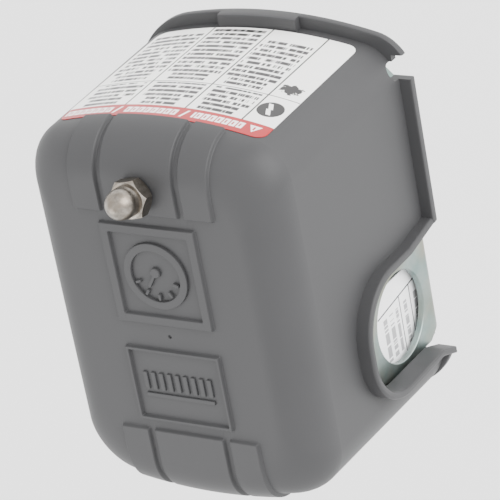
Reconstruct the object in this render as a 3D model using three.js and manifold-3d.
// Diaphragm pressure switch for water pumps and small compressors, shown complete and ready to mount.
// Units are millimetres, +Z is up. The origin is the centre of the pressure port's bottom face.
// Everything is drawn from the plane of the cover's rim, and one group lifts it to its real height.
import * as THREE from 'three';
import { mergeVertices } from 'three/addons/utils/BufferGeometryUtils.js';
import Module from 'manifold-3d';

const wasm = await Module();
wasm.setup();

// ---- driving dimensions ----------------------------------------------------------------------
const RIM_HEIGHT = 25.4; // rim of the cover above the port face
const GAP = 0.3; // free space left between pieces that touch

const COVER = {
  halfLength: 34.5, // end walls, at the rim
  front: 47.4, // middle of the label side
  back: 48.5, // middle of the opposite side
  frontBow: 5.1, // how far the long sides fall back towards the corners
  backBow: 5.0,
  corners: [8, 8, 10, 10], // front left, front right, back right, back left, seen from above
  cornerGrowth: 0.35, // the corners get rounder towards the top
  height: 60.2,
  edge: 10.5, // rounding between the sides and the top
  draft: 0.026, // 1.5 degrees, on the front and the ends
  backDraft: 0.008,
  wall: 2.3,
};
// Outward rim on the front and the ends, which runs out into the wall at the back corners.
const FLANGE = {
  reach: 3, backReach: -0.3, thick: 2, corners: [7.6, 17, 13, 13], middleHalf: 10.5, middleThick: 4 };
const NOTCH = { front: 3.2, back: 32.4, top: 35.1, corner: 12.5, lip: 1.8, lipFace: 37.3 };
const NOTCH_FLARE = { front: 0.9, frontHigh: 13.4, back: 34.8, backHigh: 6 }; // wider at the rim
const LEVER_SLOT = { y: -38.8, radius: 2.9, top: 4.8 };
const PAD = { rise: 0.9, half: 9.6, sideIn: 10.7, sideOut: 18.6, frontEnd: -27.4, backEnd: 28.4, low: 49.4 };
const BADGE = { half: 12.8, front: -25.1, back: 0.4, bar: 2.7 }; // raised square frame on the top
const NAMEPLATE = { half: 12.7, front: 6.7, back: 26.2, bar: 1.1 };
const LABEL = { half: 27, low: 4.6, high: 48.6, corner: 2.5, thick: 0.35 };
const INNER_CARD = { x: -28.3, thick: 0.4, front: 12.6, back: 34, low: -1.5, high: 27, corner: 7 };

const BASE = { under: -4.6, gauge: 1.6, half: 31, front: -42, back: 37.5, corner: 8 };
const END_PLATE = { front: -3, back: 33.6, high: 32.5, corner: 9, chamfer: 3.4 };
const CONDUIT = { y: 20.6, z: 12.5, radius: 11.1 }; // 22.2 mm hole for half-inch conduit
const EAR = { x: 23.4, gauge: 1.6, front: 8, back: 19.4, high: 18 };

const PORT = { acrossFlats: 17.5, bore: 5.6, spigot: 7 };
const CHAMBER = {
  half: 23, corner: 7, plate: 3.2, dish: 16, dishTop: 20.5, recess: 16, depth: 3.5, thick: 9.2 };
const DIAPHRAGM = { radius: 19, thick: 1.2, hub: 7 };
const PLUNGER = { radius: 4, nose: 2.4, tip: 1.8, noseHigh: 2 };

const LEVER = { pivotY: 13, pivotZ: 6, half: 14, gauge: 1.6, front: -43, under: 5, flange: 8 };
const CARRIER = { pivotY: 14.6, pivotZ: 14.2, half: 19, high: 29.5, front: 12.4, back: 16.6, hub: 2.7 };
const PIN = 1.4; // radius of the two pivot pins
const BLOCK = { half: 21, front: 20, back: 36, high: 24 };
const TERMINAL = { pitch: 10.4, half: 4.2, gauge: 1, screwY: 29.4 };
const CONTACT = { z: 24.5, radius: 2, reach: 1.2, bladeHalf: 7.2, bladeHigh: 2.5, bladeGauge: 0.9 };
const TOGGLE = { x: 8, half: 2, z: 17.4, radius: 4, gauge: 0.6 };

const SCREW = { radius: 1.9, head: 3.7, headHeight: 2.3, slot: 0.9 };
const FLANGE_SCREW = { x: 17.5, y: 15.5, long: 9 };
const GROUND = { x: 25.3, y: -4, long: 4 };
const BLOCK_SCREW = { x: 15.6, y: 28, long: 7 };

const RANGE = { y: -33, stud: 3.1, coil: 7.4, wire: 1.15, turns: 7, low: 9.2, high: 40, nutFlats: 11.1 };
const DIFFERENTIAL = { y: -16.8, stud: 2.1, coil: 4.6, wire: 0.75, turns: 8, low: 8.6, high: 28, nutFlats: 8 };
const CAP_NUT = { flats: 8.5, hex: 3.6, dome: 3.6, height: 9.6, thread: 2.1, spin: 9.5, lean: 8, lift: 0.35 };

const flangeScrewPlaces = [-1, 1].flatMap((back) => [-1, 1]
  .map((side) => [side * FLANGE_SCREW.x, back * FLANGE_SCREW.y]));

// ---- solids ----------------------------------------------------------------------------------
function solid(geometry) {
  const bare = geometry.index ? geometry.toNonIndexed() : geometry.clone();
  for (const name of Object.keys(bare.attributes)) {
    if (name !== 'position') bare.deleteAttribute(name);
  }
  const merged = mergeVertices(bare, 1e-4);
  const mesh = new wasm.Mesh({
    numProp: 3,
    vertProperties: new Float32Array(merged.attributes.position.array),
    triVerts: new Uint32Array(merged.index.array),
  });
  mesh.merge();
  return new wasm.Manifold(mesh);
}

const join = (first, ...others) => others.reduce((sum, piece) => sum.add(piece), first);
const cut = (first, ...others) => others.reduce((rest, piece) => rest.subtract(piece), first);

function geometryOf(manifold) {
  const mesh = manifold.getMesh();
  const geometry = new THREE.BufferGeometry();
  geometry.setAttribute('position', new THREE.BufferAttribute(mesh.vertProperties, 3));
  geometry.setIndex(new THREE.BufferAttribute(mesh.triVerts, 1));
  geometry.computeVertexNormals();
  return geometry;
}

function box(x0, x1, y0, y1, z0, z1) {
  const geometry = new THREE.BoxGeometry(x1 - x0, y1 - y0, z1 - z0);
  return solid(geometry.translate((x0 + x1) / 2, (y0 + y1) / 2, (z0 + z1) / 2));
}

function rod(radius, z0, z1, x = 0, y = 0, sides = 24, topRadius = radius) {
  const geometry = new THREE.CylinderGeometry(topRadius, radius, z1 - z0, sides);
  return solid(geometry.rotateX(Math.PI / 2).translate(x, y, (z0 + z1) / 2));
}

function rodAlongX(radius, x0, x1, y, z, sides = 20) {
  const geometry = new THREE.CylinderGeometry(radius, radius, x1 - x0, sides);
  return solid(geometry.rotateZ(Math.PI / 2).translate((x0 + x1) / 2, y, z));
}

function rodAlongY(radius, y0, y1, x, z, sides = 16) {
  const geometry = new THREE.CylinderGeometry(radius, radius, y1 - y0, sides);
  return solid(geometry.translate(x, (y0 + y1) / 2, z));
}

function hexagon(flats, z0, z1, x = 0, y = 0) {
  const corners = flats / Math.sqrt(3);
  return rod(corners, z0, z1, x, y, 6);
}

// A flat outline drawn in XY and thickened along Z.
function plate(shape, z0, z1, curveSegments = 5) {
  const geometry = new THREE.ExtrudeGeometry(shape, { depth: z1 - z0, bevelEnabled: false, curveSegments });
  return solid(geometry.translate(0, 0, z0));
}

// A flat outline drawn in YZ and thickened along X.
function sidePlate(shape, x0, x1, curveSegments = 5) {
  const geometry = new THREE.ExtrudeGeometry(shape, { depth: x1 - x0, bevelEnabled: false, curveSegments });
  const turn = new THREE.Matrix4().makeBasis(
    new THREE.Vector3(0, 1, 0), new THREE.Vector3(0, 0, 1), new THREE.Vector3(1, 0, 0));
  return solid(geometry.applyMatrix4(turn).translate(x0, 0, 0));
}

// A flat outline drawn in XZ and thickened along Y.
function frontPlate(shape, y0, y1, curveSegments = 5) {
  const geometry = new THREE.ExtrudeGeometry(shape, { depth: y1 - y0, bevelEnabled: false, curveSegments });
  return solid(geometry.rotateX(Math.PI / 2).translate(0, y1, 0));
}

// A rectangle whose corners, taken from low-left round by low-right, have their own radii.
function roundedRectangle(x0, x1, y0, y1, radii) {
  const [a, b, c, d] = Array.isArray(radii) ? radii : [radii, radii, radii, radii];
  const shape = new THREE.Shape();
  shape.moveTo(x0 + a, y0);
  shape.lineTo(x1 - b, y0);
  if (b) shape.absarc(x1 - b, y0 + b, b, -Math.PI / 2, 0);
  shape.lineTo(x1, y1 - c);
  if (c) shape.absarc(x1 - c, y1 - c, c, 0, Math.PI / 2);
  shape.lineTo(x0 + d, y1);
  if (d) shape.absarc(x0 + d, y1 - d, d, Math.PI / 2, Math.PI);
  shape.lineTo(x0, y0 + a);
  if (a) shape.absarc(x0 + a, y0 + a, a, Math.PI, Math.PI * 1.5);
  return shape;
}

class Helix extends THREE.Curve {
  constructor(radius, low, high, turns) {
    super();
    Object.assign(this, { radius, low, high, turns });
  }

  getPoint(t, target = new THREE.Vector3()) {
    const angle = t * this.turns * Math.PI * 2;
    const z = this.low + t * (this.high - this.low);
    return target.set(this.radius * Math.cos(angle), this.radius * Math.sin(angle), z);
  }
}

function coilSpring(at, sides) {
  const wire = new THREE.Shape();
  wire.absarc(0, 0, at.wire, 0, Math.PI * 2);
  const helix = new Helix(at.coil, at.low + at.wire, at.high - at.wire, at.turns);
  const geometry = new THREE.ExtrudeGeometry(wire, {
    steps: at.turns * 12, extrudePath: helix, curveSegments: sides, bevelEnabled: false });
  return solid(geometry.translate(0, at.y, 0));
}

// ---- materials -------------------------------------------------------------------------------
const paint = (name, color, roughness, metalness) =>
  new THREE.MeshStandardMaterial({ name, color, roughness, metalness });
const greyPlastic = paint('grey_plastic', 0x77777a, 0.55, 0);
const zincPlate = paint('zinc_plate', 0xb9beb6, 0.35, 0.9);
const steel = paint('spring_steel', 0x8d9296, 0.35, 0.9);
const stainless = paint('stainless', 0xb5aea3, 0.3, 0.95);
const blackPlastic = paint('black_plastic', 0x1b1b1c, 0.5, 0);
const brass = paint('brass', 0xb99a55, 0.35, 0.9);
const rubber = paint('rubber', 0x202020, 0.8, 0);
const paper = paint('label_paper', 0xf0f0ee, 0.5, 0);
const greenSteel = paint('green_steel', 0x2f7d46, 0.4, 0.4);

// ---- the object ------------------------------------------------------------------------------
const pressureSwitch = new THREE.Group();
const onRim = new THREE.Group();
onRim.position.z = RIM_HEIGHT;
pressureSwitch.add(onRim);

function add(name, body, material) {
  const mesh = new THREE.Mesh(geometryOf(body), material);
  mesh.name = name;
  onRim.add(mesh);
}

// ---- cover -----------------------------------------------------------------------------------
// Plan outline: two flat ends, two bowed long sides and four rounded corners.
function planOutline(half, front, back, corners) {
  const handle = 0.55; // share of each leg that draws a near-circular corner
  const shape = new THREE.Shape();
  // Where a bowed side meets a corner: the side's point there, and the tip that both sides point to.
  const cornerAt = (sign, side, corner) => {
    const [reach, bow] = side < 0 ? [front, COVER.frontBow] : [back, COVER.backBow];
    const x = half - corner;
    const y = side * (reach - bow * (x / COVER.halfLength) ** 2);
    const fall = side * 2 * bow * x / COVER.halfLength ** 2; // how fast the side falls back there
    const tip = y - fall * corner;
    const end = tip - side * corner;
    return {
      x: sign * x,
      y,
      end,
      control: y + fall * x,
      onSide: [sign * (x + corner * handle), y + (tip - y) * handle],
      onEnd: [sign * half, end + (tip - end) * handle],
    };
  };
  const [frontLeft, frontRight, backRight, backLeft] = [[-1, -1], [1, -1], [1, 1], [-1, 1]]
    .map(([sign, side], i) => cornerAt(sign, side, corners[i]));
  const bow = (from, to) => {
    const control = (from.control + to.control) / 2;
    shape.quadraticCurveTo(0, control, to.x, to.y);
  };
  shape.moveTo(frontLeft.x, frontLeft.y);
  bow(frontLeft, frontRight);
  shape.bezierCurveTo(...frontRight.onSide, ...frontRight.onEnd, half, frontRight.end);
  shape.lineTo(half, backRight.end);
  shape.bezierCurveTo(...backRight.onEnd, ...backRight.onSide, backRight.x, backRight.y);
  bow(backRight, backLeft);
  shape.bezierCurveTo(...backLeft.onSide, ...backLeft.onEnd, -half, backLeft.end);
  shape.lineTo(-half, frontLeft.end);
  shape.bezierCurveTo(...frontLeft.onEnd, ...frontLeft.onSide, frontLeft.x, frontLeft.y);
  return shape;
}

// A closed solid through level outlines that all have the same number of points.
function loft(levels, curveSegments) {
  const rings = levels.map(({ shape, z, place }) => shape.getPoints(curveSegments)
    .slice(0, -1)
    .map((point) => place(point, z)));
  const count = rings[0].length;
  const vertices = rings.flat();
  const index = [];
  for (let ring = 0; ring + 1 < rings.length; ring += 1) {
    for (let i = 0; i < count; i += 1) {
      const a = ring * count + i;
      const b = ring * count + (i + 1) % count;
      index.push(a, b, b + count, a, b + count, a + count);
    }
  }
  const cap = (start, flip) => {
    const middle = vertices.length;
    const ring = vertices.slice(start, start + count);
    const sum = ring.reduce((total, point) => total.add(point), new THREE.Vector3());
    vertices.push(sum.divideScalar(count));
    for (let i = 0; i < count; i += 1) {
      const pair = [start + i, start + (i + 1) % count];
      index.push(...(flip ? pair.reverse() : pair), middle);
    }
  };
  cap(0, true);
  cap((rings.length - 1) * count, false);
  const geometry = new THREE.BufferGeometry().setFromPoints(vertices);
  return solid(geometry.setIndex(index));
}

// The drafted, round-edged block that the cover's outside, inside, pads and label are cut from.
function coverBlock(grow) {
  const skirt = 6;
  const steps = 6;
  const edge = COVER.edge + grow;
  const shoulder = COVER.height + grow - edge;
  const place = (point, z) => {
    const draftY = point.y > 0 ? COVER.backDraft : COVER.draft;
    return new THREE.Vector3(
      point.x * (1 - COVER.draft * z / COVER.halfLength), point.y * (1 - draftY * z / COVER.front), z);
  };
  const level = (inset, z) => ({
    shape: planOutline(
      COVER.halfLength + grow - inset,
      COVER.front + grow - inset,
      COVER.back + grow - inset,
      COVER.corners.map((corner) => corner + grow + COVER.cornerGrowth * inset)),
    z,
    place,
  });
  const levels = [level(0, -skirt), level(0, shoulder)];
  for (let i = 1; i <= steps; i += 1) {
    const angle = (i / steps) * Math.PI / 2;
    levels.push(level(edge * (1 - Math.cos(angle)), shoulder + edge * Math.sin(angle)));
  }
  return loft(levels, 6);
}

function notchOutline(grow) {
  const { front, back, top, corner } = NOTCH;
  const radius = corner + grow;
  const [y0, y1, z1] = [front - grow, back + grow, top + grow];
  const shape = new THREE.Shape();
  shape.moveTo(NOTCH_FLARE.front - grow, 0);
  shape.lineTo(NOTCH_FLARE.front - grow, -5);
  shape.lineTo(NOTCH_FLARE.back + grow, -5);
  shape.lineTo(NOTCH_FLARE.back + grow, 0);
  shape.lineTo(y1, NOTCH_FLARE.backHigh);
  shape.lineTo(y1, z1 - radius);
  shape.absarc(y1 - radius, z1 - radius, radius, 0, Math.PI / 2);
  shape.absarc(y0 + radius, z1 - radius, radius, Math.PI / 2, Math.PI);
  shape.lineTo(y0, NOTCH_FLARE.frontHigh);
  return shape;
}

function frameBar(at, z0, z1) {
  const outer = box(-at.half, at.half, at.front, at.back, z0, z1);
  const { bar } = at;
  return cut(outer, box(-at.half + bar, at.half - bar, at.front + bar, at.back - bar, z0 - 1, z1 + 1));
}

const FAR = 90; // further than any face of the object
const aboveRim = box(-FAR, FAR, -FAR, FAR, 0, FAR);

function makeCover() {
  const outside = coverBlock(0).intersect(aboveRim);
  const raised = coverBlock(PAD.rise);
  const top = COVER.height;
  let shell = outside;
  const strips = [[-PAD.half, PAD.half], [PAD.sideIn, PAD.sideOut], [-PAD.sideOut, -PAD.sideIn]];
  for (const [x0, x1] of strips) {
    const front = box(x0, x1, -FAR, PAD.frontEnd, PAD.low, FAR);
    const back = box(x0, x1, PAD.backEnd, FAR, PAD.low, FAR);
    shell = join(shell, raised.intersect(join(front, back)));
  }
  const rise = top + PAD.rise;
  shell = join(shell, frameBar(BADGE, top - 1, rise), frameBar(NAMEPLATE, top - 1, rise));
  const rim = planOutline(
    COVER.halfLength + FLANGE.reach, COVER.front + FLANGE.reach, COVER.back + FLANGE.backReach, FLANGE.corners);
  const middle = box(-FLANGE.middleHalf, FLANGE.middleHalf, -FAR, 0, -1, FAR);
  shell = join(shell, plate(rim, 0, FLANGE.thick, 8));
  shell = join(shell, plate(rim, 0, FLANGE.middleThick, 8).intersect(middle));
  const lips = [[-NOTCH.lipFace, -33], [33, NOTCH.lipFace]];
  for (const [x0, x1] of lips) {
    shell = join(shell, sidePlate(notchOutline(NOTCH.lip), x0, x1, 6).intersect(aboveRim));
  }
  shell = cut(shell, coverBlock(-COVER.wall));
  for (const [x0, x1] of [[-45, -26], [26, 45]]) {
    shell = cut(shell, sidePlate(notchOutline(0), x0, x1, 6));
  }
  const { y, radius, top: slotTop } = LEVER_SLOT;
  const slot = roundedRectangle(y - radius, y + radius, -5, slotTop, [0, 0, radius - 0.1, radius - 0.1]);
  shell = cut(shell, sidePlate(slot, -45, -24, 3));
  shell = cut(shell, rod(CAP_NUT.thread + 0.6, COVER.height - 6, FAR, 0, RANGE.y, 16));
  return shell;
}
add('cover', makeCover(), greyPlastic);

function makeFrontLabel() {
  const film = cut(coverBlock(GAP + LABEL.thick), coverBlock(GAP));
  const outline = roundedRectangle(-LABEL.half, LABEL.half, LABEL.low, LABEL.high, LABEL.corner);
  return film.intersect(frontPlate(outline, -FAR, -30, 3));
}
add('warning_label', makeFrontLabel(), paper);

// The nut sits slightly cocked towards the front, where the pad starts to fall away.
function makeCapNut() {
  const { flats, hex, dome, height, thread, spin, lean, lift } = CAP_NUT;
  const crown = [new THREE.Vector2(0, 0), new THREE.Vector2(dome, 0)];
  const collarTop = height - hex - dome;
  const steps = 5;
  for (let i = 0; i <= steps; i += 1) {
    const angle = (i / steps) * Math.PI / 2;
    const reach = i === steps ? 0 : dome * Math.cos(angle);
    crown.push(new THREE.Vector2(reach, collarTop + dome * Math.sin(angle)));
  }
  const crownBody = new THREE.LatheGeometry(crown, 20).rotateX(Math.PI / 2).translate(0, 0, hex - 0.01);
  const body = join(hexagon(flats, 0, hex), solid(crownBody));
  const bored = cut(body, rod(thread + GAP * 3, -1, hex + 1, 0, 0, 16));
  const seat = COVER.height + PAD.rise + GAP + lift;
  return bored.rotate([0, 0, spin]).rotate([lean, 0, 0]).translate([0, RANGE.y, seat]);
}
add('cap_nut', makeCapNut(), stainless);

// ---- frame -----------------------------------------------------------------------------------
const FLOOR = BASE.under + BASE.gauge;

function makeBaseFrame() {
  const outline = roundedRectangle(-BASE.half, BASE.half, BASE.front, BASE.back, BASE.corner);
  let frame = plate(outline, BASE.under, FLOOR, 3);
  const { front, back, high, corner, chamfer } = END_PLATE;
  for (const side of [-1, 1]) {
    const endOutline = new THREE.Shape();
    endOutline.moveTo(front, BASE.under);
    endOutline.lineTo(back - chamfer, BASE.under);
    endOutline.lineTo(back, BASE.under + chamfer * 1.6);
    endOutline.lineTo(back, high - corner);
    endOutline.absarc(back - corner, high - corner, corner, 0, Math.PI / 2);
    endOutline.lineTo(front + corner, high);
    endOutline.absarc(front + corner, high - corner, corner, Math.PI / 2, Math.PI);
    const outer = side * BASE.half;
    const inner = side * (BASE.half - BASE.gauge);
    frame = join(frame, sidePlate(endOutline, Math.min(outer, inner), Math.max(outer, inner), 3));
    frame = cut(frame, rodAlongX(CONDUIT.radius, side * 31 - 4, side * 31 + 4, CONDUIT.y, CONDUIT.z, 28));
    const earX = side * EAR.x;
    const earOuter = side * (EAR.x + EAR.gauge);
    const ear = roundedRectangle(EAR.front, EAR.back, BASE.under, EAR.high, [0, 0, 4, 4]);
    frame = join(frame, sidePlate(ear, Math.min(earX, earOuter), Math.max(earX, earOuter), 3));
  }
  for (const [y, z] of [[LEVER.pivotY, LEVER.pivotZ], [CARRIER.pivotY, CARRIER.pivotZ]]) {
    frame = cut(frame, rodAlongX(PIN + GAP, -28, 28, y, z, 12));
  }
  const through = (radius, x, y, sides = 16) => rod(radius, BASE.under - 1, FLOOR + 1, x, y, sides);
  frame = cut(frame, through(PLUNGER.radius + GAP, 0, 0, 20), through(RANGE.stud + GAP, 0, RANGE.y));
  frame = cut(frame, through(DIFFERENTIAL.stud + GAP, 0, DIFFERENTIAL.y));
  for (const [x, y] of flangeScrewPlaces) frame = cut(frame, through(SCREW.radius + GAP, x, y, 12));
  for (const side of [-1, 1]) {
    frame = cut(frame, through(SCREW.radius + GAP, side * GROUND.x, GROUND.y, 12));
    frame = cut(frame, through(SCREW.radius + GAP, side * BLOCK_SCREW.x, BLOCK_SCREW.y, 12));
  }
  return frame;
}

add('base_frame', makeBaseFrame(), zincPlate);

// A slotted pan-head screw whose head sits on the height given. It points down unless flipped.
function slottedScrew(x, y, seat, length, flip = 1) {
  const level = (z) => [seat + flip * z[0], seat + flip * z[1]].sort((a, b) => a - b);
  const [h0, h1] = level([0, SCREW.headHeight]);
  const [s0, s1] = level([-length, 0.2]);
  const [c0, c1] = level([SCREW.headHeight - 1, SCREW.headHeight + 1]);
  const body = join(rod(SCREW.head, h0, h1, x, y, 16), rod(SCREW.radius, s0, s1, x, y, 10));
  return cut(body, box(x - 6, x + 6, y - SCREW.slot / 2, y + SCREW.slot / 2, c0, c1));
}

flangeScrewPlaces.forEach(([x, y], i) => {
  add(`flange_screw_${i + 1}`, slottedScrew(x, y, FLOOR + GAP, FLANGE_SCREW.long), zincPlate);
});
for (const [word, side] of [['left', -1], ['right', 1]]) {
  add(`ground_screw_${word}`, slottedScrew(side * GROUND.x, GROUND.y, FLOOR + GAP, GROUND.long), greenSteel);
  const seat = BASE.under - GAP;
  const { x, y, long } = BLOCK_SCREW;
  add(`block_screw_${word}`, slottedScrew(side * x, y, seat, long, -1), zincPlate);
}

function makeInnerCard() {
  const { x, thick, front, back, low, high, corner } = INNER_CARD;
  return sidePlate(roundedRectangle(front, back, low, high, [0.5, corner, 0.5, 0.5]), x, x + thick, 3);
}
add('instruction_card', makeInnerCard(), paper);

// ---- pressure side ---------------------------------------------------------------------------
const diaphragmTop = BASE.under - GAP;
const chamberTop = diaphragmTop - DIAPHRAGM.thick - GAP;
const chamberUnder = chamberTop - CHAMBER.thick;

function makePressureFlange() {
  const square = roundedRectangle(-CHAMBER.half, CHAMBER.half, -CHAMBER.half, CHAMBER.half, CHAMBER.corner);
  let flange = plate(square, chamberTop - CHAMBER.plate, chamberTop, 3);
  const dishHigh = chamberTop - CHAMBER.plate + 0.2;
  flange = join(flange, rod(CHAMBER.dish, chamberUnder, dishHigh, 0, 0, 32, CHAMBER.dishTop));
  flange = cut(flange, rod(CHAMBER.recess, chamberTop - CHAMBER.depth, chamberTop + 1, 0, 0, 32));
  flange = cut(flange, rod(PORT.spigot + GAP, chamberUnder - 1, chamberTop, 0, 0, 20));
  for (const [x, y] of flangeScrewPlaces) {
    flange = cut(flange, rod(SCREW.radius + GAP, chamberUnder, chamberTop + 1, x, y, 12));
  }
  return flange;
}
add('pressure_flange', makePressureFlange(), zincPlate);

function makePortFitting() {
  const face = -RIM_HEIGHT;
  const body = join(
    hexagon(PORT.acrossFlats, face, chamberUnder - GAP),
    rod(PORT.spigot, chamberUnder - 1, chamberTop - CHAMBER.depth, 0, 0, 20));
  return cut(body, rod(PORT.bore, face - 1, chamberTop, 0, 0, 20));
}
add('port_fitting', makePortFitting(), zincPlate);

function makeDiaphragm() {
  const top = diaphragmTop;
  const disc = rod(DIAPHRAGM.radius, top - DIAPHRAGM.thick, top, 0, 0, 32);
  return join(disc, rod(DIAPHRAGM.hub, top - 2.4, top - 1, 0, 0, 20));
}
add('diaphragm', makeDiaphragm(), rubber);

const leverUnder = LEVER.under;
const plungerFoot = diaphragmTop + GAP;
const plungerBody = join(
  rod(PLUNGER.radius, plungerFoot, leverUnder - PLUNGER.noseHigh, 0, 0, 20),
  rod(PLUNGER.nose, leverUnder - PLUNGER.noseHigh - 0.2, leverUnder - GAP, 0, 0, 16, PLUNGER.tip));
add('plunger', plungerBody, steel);

// ---- lever and snap carrier ------------------------------------------------------------------
function makeLever() {
  const { half, gauge, front, under, flange, pivotY, pivotZ } = LEVER;
  const top = under + gauge;
  let lever = plate(roundedRectangle(-half, half, front, pivotY - 4, [5, 5, 0, 0]), under, top, 3);
  for (const side of [-1, 1]) {
    const outer = side * half;
    const inner = side * (half - gauge);
    const cheek = roundedRectangle(pivotY - flange - 4, pivotY + 4, pivotZ - 4, pivotZ + 4, [1, 4, 4, 1]);
    lever = join(lever, sidePlate(cheek, Math.min(outer, inner), Math.max(outer, inner), 3));
  }
  lever = cut(lever, rodAlongX(PIN + GAP, -20, 20, pivotY, pivotZ, 12));
  lever = cut(lever, rod(RANGE.stud + 1, under - 1, top + 1, 0, RANGE.y, 16));
  return cut(lever, rod(DIFFERENTIAL.stud + 0.9, under - 1, top + 1, 0, DIFFERENTIAL.y, 16));
}
add('lever_plate', makeLever(), zincPlate);

const pinReach = EAR.x + EAR.gauge + 0.9;
function pivotPin(y, z) {
  const shaft = rodAlongX(PIN, -pinReach, pinReach, y, z, 16);
  const head = (x0, x1) => rodAlongX(PIN + 1, x0, x1, y, z, 16);
  const clear = EAR.x + EAR.gauge + GAP;
  return join(shaft, head(-pinReach - 0.8, -clear), head(clear, pinReach + 0.8));
}
add('lever_pin', pivotPin(LEVER.pivotY, LEVER.pivotZ), steel);
add('carrier_pin', pivotPin(CARRIER.pivotY, CARRIER.pivotZ), steel);

function makeCarrier() {
  const { half, pivotY, pivotZ, high, front, back, hub } = CARRIER;
  let body = box(-half, half, front, back, pivotZ, high);
  body = join(body, rodAlongX(hub, -half, half, pivotY, pivotZ, 20));
  for (const side of [-1, 1]) { // pockets that hold the contact blades
    const middle = side * TERMINAL.pitch;
    const [wide, tall] = [CONTACT.bladeHalf + 0.4, CONTACT.bladeHigh + 0.6];
    const pocket = back - CONTACT.bladeGauge - GAP;
    body = cut(body, box(
      middle - wide, middle + wide, pocket, back + 1, CONTACT.z - tall, CONTACT.z + tall));
  }
  return cut(body, rodAlongX(PIN + GAP, -30, 30, pivotY, pivotZ, 12));
}
add('contact_carrier', makeCarrier(), blackPlastic);

function makeBlade(side) {
  const middle = side * TERMINAL.pitch;
  const { z, radius, reach, bladeHalf, bladeHigh, bladeGauge } = CONTACT;
  const { back } = CARRIER;
  const blade = box(
    middle - bladeHalf, middle + bladeHalf, back - bladeGauge, back, z - bladeHigh, z + bladeHigh);
  const button = (x) => rodAlongY(radius, back - 0.1, back + reach, x, z, 14);
  return join(blade, button(middle - TERMINAL.pitch / 2), button(middle + TERMINAL.pitch / 2));
}
add('contact_blade_left', makeBlade(-1), brass);
add('contact_blade_right', makeBlade(1), brass);

// Bent strips between the lever and the carrier, which throw the carrier over centre.
function makeToggle(side) {
  const { x, half, z, radius, gauge } = TOGGLE;
  const y = CARRIER.front - 1;
  const band = new THREE.Shape();
  band.absarc(y, z, radius, Math.PI / 2, Math.PI * 1.5);
  band.absarc(y, z, radius - gauge, Math.PI * 1.5, Math.PI / 2, true);
  return sidePlate(band, side * x - half, side * x + half, 10);
}
add('toggle_spring_left', makeToggle(-1), steel);
add('toggle_spring_right', makeToggle(1), steel);

// ---- terminal block --------------------------------------------------------------------------
const terminalPlaces = [-1.5, -0.5, 0.5, 1.5].map((step) => step * TERMINAL.pitch);

function makeBlock() {
  const seat = FLOOR + GAP;
  let block = box(-BLOCK.half, BLOCK.half, BLOCK.front, BLOCK.back, seat, BLOCK.high);
  for (const step of [-1, 0, 1]) { // barriers between the terminals
    const x = step * TERMINAL.pitch;
    block = join(block, box(x - 0.6, x + 0.6, BLOCK.front, BLOCK.back, BLOCK.high - 1, BLOCK.high + 4));
  }
  for (const x of terminalPlaces) {
    block = cut(block, rod(SCREW.radius + GAP, BLOCK.high - 7, BLOCK.high + 1, x, TERMINAL.screwY, 12));
  }
  for (const side of [-1, 1]) {
    block = cut(block, rod(SCREW.radius + GAP, seat - 1, 4.5, side * BLOCK_SCREW.x, BLOCK_SCREW.y, 12));
  }
  return block;
}
add('contact_block', makeBlock(), blackPlastic);

function makeTerminal(x) {
  const { half, gauge } = TERMINAL;
  const under = BLOCK.high + GAP;
  const face = BLOCK.front - GAP;
  let strip = box(x - half, x + half, face - gauge, BLOCK.back - 1, under, under + gauge);
  strip = join(strip, box(x - half, x + half, face - gauge, face, under - 3.6, under + 3.2));
  const { z, radius, reach } = CONTACT;
  strip = join(strip, rodAlongY(radius, CARRIER.back + reach + GAP, face - gauge + 0.1, x, z, 14));
  return cut(strip, rod(SCREW.radius + GAP, under - 1, under + gauge + 1, x, TERMINAL.screwY, 12));
}
terminalPlaces.forEach((x, i) => {
  add(`terminal_${i + 1}`, makeTerminal(x), brass);
  const seat = BLOCK.high + TERMINAL.gauge + GAP * 2;
  add(`terminal_screw_${i + 1}`, slottedScrew(x, TERMINAL.screwY, seat, 6), zincPlate);
});

// ---- adjusting studs, springs and nuts -------------------------------------------------------
const leverTop = LEVER.under + LEVER.gauge;

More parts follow.
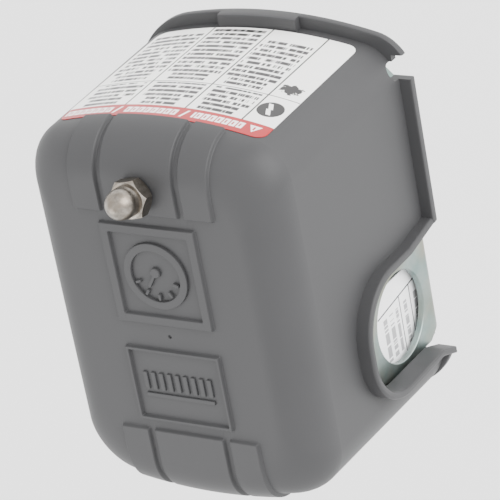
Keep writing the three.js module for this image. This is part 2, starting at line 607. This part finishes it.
function makeStud(at, top, collarLow, collarHigh) {
  const foot = Math.min(collarLow, BASE.under + GAP);
  return join(
    rod(at.stud, foot, top, 0, at.y, 16),
    rod(at.stud + 1.6, collarLow, collarHigh, 0, at.y, 16));
}
const headTop = BASE.under - GAP; // the range stud's head is under the floor of the frame
const shoulderTop = COVER.height - COVER.wall - GAP;
const tip = rod(CAP_NUT.thread, shoulderTop - 1, COVER.height + PAD.rise + CAP_NUT.hex, 0, RANGE.y, 14);
add('range_stud', join(makeStud(RANGE, shoulderTop, headTop - 2, headTop), tip), zincPlate);
const collar = FLOOR + GAP; // the differential stud is staked from above
add('differential_stud', makeStud(DIFFERENTIAL, DIFFERENTIAL.high + 9, collar, collar + 1.5), zincPlate);

// Pressed washer that centres a spring: a disc with a low collar inside the coil.
function springSeat(at, z, up) {
  const bore = at.stud + GAP;
  const disc = rod(at.coil + at.wire + 0.6, z, z + 1.2, 0, at.y, 24);
  const inside = at.coil - at.wire - 0.4;
  const collar = up > 0 ? rod(inside, z + 1, z + 2.6, 0, at.y, 20) : rod(inside, z - 1.4, z + 0.2, 0, at.y, 20);
  return cut(join(disc, collar), rod(bore + (up > 0 ? 0.7 : 0), z - 5, z + 5, 0, at.y, 16));
}

function adjustingNut(at, z, height) {
  const bore = rod(at.stud + GAP, z - 1, z + height + 1, 0, at.y, 16);
  return cut(hexagon(at.nutFlats, z, z + height, 0, at.y), bore);
}

for (const [word, at, sides, height] of [['range', RANGE, 4, 5.5], ['differential', DIFFERENTIAL, 3, 4]]) {
  add(`${word}_lower_seat`, springSeat(at, leverTop + GAP, 1), zincPlate);
  add(`${word}_spring`, coilSpring(at, sides), steel);
  add(`${word}_upper_seat`, springSeat(at, at.high + GAP, -1), zincPlate);
  add(`${word}_nut`, adjustingNut(at, at.high + 1.2 + GAP * 2, height), zincPlate);
}

// Plain nut and washer under the cover's top, which the cap nut pulls the cover down on.
const stopTop = COVER.height - COVER.wall - GAP * 3;
add('cover_stop_nut', adjustingNut({ ...RANGE, nutFlats: 9.5 }, stopTop - 4, 4), zincPlate);

export default pressureSwitch;
